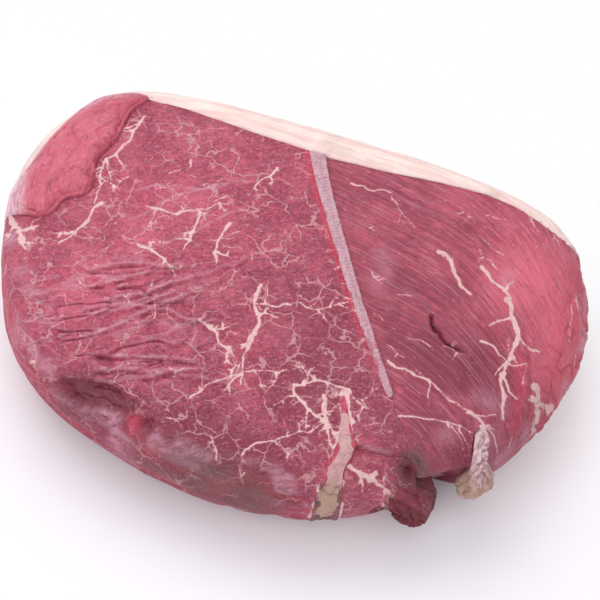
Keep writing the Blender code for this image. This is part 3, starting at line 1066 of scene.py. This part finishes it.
def fat(name, base, shade, pink, lines, line_scale):
    """Firm fat. lines is how strongly its layers show, line_scale their size along and across."""
    s = Shade(name)
    fibre = s.read_vector("fibre")
    dry, silver, bleed, shadow = s.read("dry"), s.read("silver"), s.read("bleed"), s.read("dark")
    layer = s.noise(s.stretch(s.warped(fibre, 0.1, 2.0), line_scale), 1.0, 3.0, 0.6)
    patch = s.noise(s.place, 0.10, 3.0, 0.55)
    crumb = s.noise(s.place, 0.6, 3.0, 0.65)
    level = s.math("ADD", s.math("MULTIPLY", layer, 0.6), s.math("MULTIPLY", patch, 0.4))
    colour = s.blend(s.step(level, 0.35, 0.65), shade, base)
    flesh = s.blend(s.noise(s.place, 1.1, 4.0, 0.75), SMEAR_DARK, SMEAR_LIGHT)
    depth = s.math("ADD", s.read("vein"), s.math("MULTIPLY", s.math("SUBTRACT", crumb, 0.5), 1.4))
    line = s.step(layer, 0.42, 0.50, 1.0, 0.0)
    colour = s.blend(s.math("MULTIPLY", line, lines), colour, pink)
    colour = s.blend(s.math("MULTIPLY", bleed, 0.55), colour, pink)
    colour = s.blend(s.math("MULTIPLY", silver, 0.6), colour, FAT_FILM)
    dried = s.blend(s.step(crumb, 0.35, 0.65), DARK_TAN, TAN)
    colour = s.blend(s.math("MULTIPLY", dry, 0.9), colour, dried)
    colour = s.blend(s.step(depth, -0.3, 0.3, 1.0, 0.0), colour, flesh)
    # Painted shade in the cracks.
    colour = s.blend(s.math("MULTIPLY", shadow, 0.7), colour, FAT_CRACK_SHADE)
    rough = s.step(patch, 0.3, 0.7, 0.42, 0.56)
    return s.finish(colour, rough, level, 0.25, 0.4, 0.15)


MATERIALS = {
    "main_lean": lean(
        "main_lean", RED, DEEP_RED, CUT_ACROSS, 1.3, specks=0.6, mesh_lines=1.3, contrast=0.45),
    "side_lean": lean(
        "side_lean", (0.68, 0.14, 0.20), (0.24, 0.036, 0.07), (22.0, 0.9, 2.5), 30.0,
        specks=0.7, mesh_lines=0.15, sheaths=0.1, fineness=2.4, contrast=0.38),
    "cap_lean": lean(
        "cap_lean", (0.68, 0.15, 0.21), (0.48, 0.085, 0.13), (6.0, 2.5, 2.0), 4.0,
        specks=0.25, mesh_lines=0.1, sheaths=0.1, contrast=0.35, film_sheen_colour=(0.80, 0.62, 0.70)),
    "tail_lean": lean(
        "tail_lean", (0.62, 0.12, 0.18), DEEP_RED, CUT_ACROSS, 1.6, contrast=0.6),
    "cap_fat": fat(
        "cap_fat", (0.84, 0.70, 0.66), (0.77, 0.58, 0.53), (0.72, 0.42, 0.44), 0.3,
        (0.03, 0.75, 0.3)),
    "seam_fat": lean(
        "seam_fat", RED, DEEP_RED, CUT_ACROSS, 1.3, contrast=0.6,
        fats=((0.50, 0.25, 0.31), (0.68, 0.46, 0.52))),
    "knot_fat": lean(
        "knot_fat", RED, DEEP_RED, CUT_ACROSS, 1.3, contrast=0.6,
        fats=((0.52, 0.24, 0.26), (0.70, 0.46, 0.45)), dried_fat=TAN),
    "dry_fat": fat(
        "dry_fat", (0.62, 0.44, 0.42), (0.44, 0.27, 0.25), (0.52, 0.28, 0.30), 0.4,
        (0.4, 0.4, 0.4)),
}

for part in frame["record"]["subparts"]:
    skin(part["node"], MATERIALS[part["material_slot"]])

# ---------------------------------------------------------------- room, light and camera

FLOOR_HALF = 3.0
FLOOR_COLOUR = (0.88, 0.85, 0.90)


def add_floor():
    bpy.ops.mesh.primitive_plane_add(size=2 * FLOOR_HALF, location=(0, 0, 0))
    floor = bpy.context.object
    floor.name = "floor"
    s = Shade("floor")
    s.put(s.shader.inputs["Base Color"], (*FLOOR_COLOUR, 1.0))
    s.shader.inputs["Roughness"].default_value = 0.9
    s.shader.inputs["Specular IOR Level"].default_value = 0.1
    # Towards the back the floor runs out into plain white, as a lit sweep does.
    separate = s.node("ShaderNodeSeparateXYZ", {0: s.place})
    back = s.step(separate.outputs[1], -60.0, 150.0)
    rays = s.node("ShaderNodeLightPath")
    seen = s.math("MAXIMUM", rays.outputs["Is Camera Ray"], rays.outputs["Is Glossy Ray"])
    seen = s.math("MAXIMUM", seen, rays.outputs["Is Transmission Ray"])
    white = s.node("ShaderNodeEmission", {"Color": (1, 1, 1, 1), "Strength": 1.0})
    mix = s.node("ShaderNodeMixShader", {
        0: s.math("MULTIPLY", back, seen), 1: s.shader.outputs[0], 2: white.outputs[0]})
    output = s.tree.nodes["Material Output"]
    s.put(output.inputs["Surface"], mix.outputs[0])
    floor.data.materials.append(s.material)


def add_softbox(name, place, size, power):
    """A rectangular lamp aimed at the middle of the floor."""
    lamp = bpy.data.lights.new(name, "AREA")
    lamp.shape = "RECTANGLE"
    lamp.size, lamp.size_y = size
    lamp.energy = power
    obj = bpy.data.objects.new(name, lamp)
    obj.location = place
    obj.rotation_euler = (-Vector(place)).to_track_quat("-Z", "Y").to_euler()
    bpy.context.scene.collection.objects.link(obj)


TURN = math.radians(20.4)       # the joint is seen turned by this much
ELEVATION = math.radians(64.0)
DISTANCE = 0.665
FOCAL_LENGTH, SENSOR = 85.0, 36.0
AIM = Vector((0.009, 0.012, 0.030))
WORLD_STRENGTH = 0.42
# Name, place in the view's own directions, size in metres, and power in watts.
SOFTBOXES = (
    ("back_softbox", (-0.25, 0.95, 1.25), (1.3, 0.9), 14.0),
    ("top_softbox", (0.1, -0.1, 1.5), (1.2, 1.2), 4.5),
    ("front_softbox", (-0.9, -1.0, 0.8), (1.4, 1.0), 10.5),
    ("right_softbox", (1.2, -0.1, 0.8), (1.0, 1.0), 2.5),
)


def turned(x, y, z):
    """A place given in the view's own directions: x to its right, y away from it."""
    return Matrix.Rotation(TURN, 3, "Z") @ Vector((x, y, z))


def add_camera():
    lens = bpy.data.cameras.new("camera")
    lens.lens = FOCAL_LENGTH
    lens.sensor_width = SENSOR
    camera = bpy.data.objects.new("camera", lens)
    ahead = turned(0, math.cos(ELEVATION), -math.sin(ELEVATION))
    camera.location = AIM - DISTANCE * ahead
    camera.rotation_euler = ahead.to_track_quat("-Z", "Y").to_euler()
    bpy.context.scene.collection.objects.link(camera)
    bpy.context.scene.camera = camera


def add_world(strength):
    """White light from all round; the camera, glass and reflections see it at full strength."""
    world = bpy.data.worlds.new("studio")
    world.use_nodes = True
    background = world.node_tree.nodes["Background"]
    background.inputs["Color"].default_value = (1, 1, 1, 1)
    background.inputs["Strength"].default_value = strength
    tree = world.node_tree
    rays = tree.nodes.new("ShaderNodeLightPath")
    either = tree.nodes.new("ShaderNodeMath")
    either.operation = "MAXIMUM"
    tree.links.new(rays.outputs["Is Camera Ray"], either.inputs[0])
    tree.links.new(rays.outputs["Is Transmission Ray"], either.inputs[1])
    any_of = tree.nodes.new("ShaderNodeMath")
    any_of.operation = "MAXIMUM"
    tree.links.new(either.outputs[0], any_of.inputs[0])
    tree.links.new(rays.outputs["Is Glossy Ray"], any_of.inputs[1])
    plain = tree.nodes.new("ShaderNodeBackground")
    mix = tree.nodes.new("ShaderNodeMixShader")
    tree.links.new(any_of.outputs[0], mix.inputs[0])
    tree.links.new(background.outputs[0], mix.inputs[1])
    tree.links.new(plain.outputs[0], mix.inputs[2])
    plain.inputs["Color"].default_value = (1, 1, 1, 1)
    tree.links.new(mix.outputs[0], tree.nodes["World Output"].inputs["Surface"])
    bpy.context.scene.world = world


add_floor()
add_world(WORLD_STRENGTH)
for box_name, box_place, box_size, box_power in SOFTBOXES:
    add_softbox(box_name, turned(*box_place), box_size, box_power)
add_camera()
bpy.context.scene.view_settings.view_transform = "Standard"
